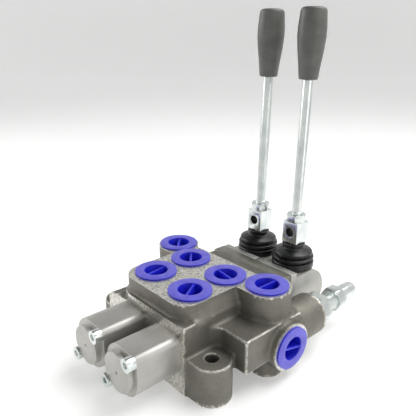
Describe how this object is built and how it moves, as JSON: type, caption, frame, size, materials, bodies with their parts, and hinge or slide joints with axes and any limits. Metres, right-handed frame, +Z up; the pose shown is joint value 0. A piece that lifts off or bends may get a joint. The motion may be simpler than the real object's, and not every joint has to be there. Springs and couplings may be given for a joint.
{
  "type": "hydraulic monoblock valve",
  "caption": "Cast-iron directional control valve with spool levers, rubber boots, spring caps, relief valve and plugged hose ports on a footed block.",
  "frame": {"origin": "on the mounting face, between the two spools, under the middle of the four work ports", "axes": "X across the spools towards the inlet side, Y along the spools towards the levers, +Z up from the mounting face"},
  "size_m": [0.1302, 0.1855, 0.2208],
  "materials": {
    "cast_iron": "shot-blasted grey iron with machined faces",
    "die_cast_aluminium": "satin die casting",
    "zinc_plate": "bright zinc plate",
    "ground_steel": "ground steel",
    "rubber": "satin moulded rubber",
    "grip_plastic": "matte moulded plastic",
    "plug_plastic": "soft blue polyethylene"
  },
  "bodies": {
    "root": {"casting": "cast_iron", "joint_plate": "cast_iron", "spool_seals": "rubber", "cap_screws": "zinc_plate", "housing_screws": "zinc_plate", "ball_circlips": "ground_steel", "spring_cap_1": "die_cast_aluminium", "spring_cap_2": "die_cast_aluminium", "seat_inner_1": "ground_steel", "seat_inner_2": "ground_steel", "seat_outer_1": "ground_steel", "seat_outer_2": "ground_steel", "centring_spring_1": "ground_steel", "centring_spring_2": "ground_steel", "lever_housing_1": "die_cast_aluminium", "lever_housing_2": "die_cast_aluminium", "ball_cup_1": "ground_steel", "ball_cup_2": "ground_steel", "boot_1": "rubber", "boot_2": "rubber", "plug_a1": "plug_plastic", "plug_a2": "plug_plastic", "plug_b1": "plug_plastic", "plug_b2": "plug_plastic", "plug_inlet_top": "plug_plastic", "plug_inlet_side": "plug_plastic", "plug_outlet": "plug_plastic", "relief_seat": "ground_steel", "relief_spring": "ground_steel", "relief_sleeve": "zinc_plate", "relief_washer": "zinc_plate", "relief_lock_nut": "zinc_plate", "relief_cap": "zinc_plate", "check_spring": "ground_steel", "check_plug": "zinc_plate"},
    "spool_1_body": {"spool_1": "ground_steel", "spool_bolt_1": "ground_steel"},
    "lever_1_body": {"lever_stem_1": "zinc_plate", "clamp_block_1": "zinc_plate", "lock_nut_1": "zinc_plate", "lever_rod_1": "zinc_plate", "grip_1": "grip_plastic"},
    "spool_2_body": {"spool_2": "ground_steel", "spool_bolt_2": "ground_steel"},
    "lever_2_body": {"lever_stem_2": "zinc_plate", "clamp_block_2": "zinc_plate", "lock_nut_2": "zinc_plate", "lever_rod_2": "zinc_plate", "grip_2": "grip_plastic"},
    "relief_poppet_body": {"relief_poppet": "ground_steel"},
    "relief_adjuster_body": {"relief_adjuster": "ground_steel"},
    "check_poppet_body": {"check_poppet": "ground_steel"}
  },
  "joints": [
    {"name": "lever_1_tilt", "type": "hinge", "parent": "root", "child": "lever_1_body", "pos_m": [-0.0175, 0.085, 0.042], "axis": [1, 0, 0], "range_deg": [-17, 17], "stiffness_Nm_per_rad": 6, "deforming": ["boot_1"]},
    {"name": "spool_1_slide", "type": "slide", "parent": "root", "child": "spool_1_body", "axis": [0, 1, 0], "range_m": [-0.0055, 0.0055]},
    {"name": "lever_2_tilt", "type": "hinge", "parent": "root", "child": "lever_2_body", "pos_m": [0.0175, 0.085, 0.042], "axis": [1, 0, 0], "range_deg": [-17, 17], "stiffness_Nm_per_rad": 6, "deforming": ["boot_2"]},
    {"name": "spool_2_slide", "type": "slide", "parent": "root", "child": "spool_2_body", "axis": [0, 1, 0], "range_m": [-0.0055, 0.0055]},
    {"name": "relief_poppet_lift", "type": "slide", "parent": "root", "child": "relief_poppet_body", "axis": [0, 1, 0], "range_m": [0, 0.0015], "stiffness_N_per_m": 300, "springref_m": -0.002, "deforming": ["relief_spring"]},
    {"name": "relief_adjuster_feed", "type": "slide", "parent": "root", "child": "relief_adjuster_body", "axis": [0, -1, 0], "range_m": [0, 0.002], "deforming": ["relief_spring"]},
    {"name": "check_poppet_lift", "type": "slide", "parent": "root", "child": "check_poppet_body", "axis": [-1, 0, 0], "range_m": [0, 0.003], "stiffness_N_per_m": 200, "springref_m": -0.002, "deforming": ["check_spring"]}
  ],
  "couplings": [
    {"joint": "spool_1_slide", "follows": "lever_1_tilt", "m_per_rad": 0.0179},
    {"joint": "spool_2_slide", "follows": "lever_2_tilt", "m_per_rad": 0.0179}
  ]
}
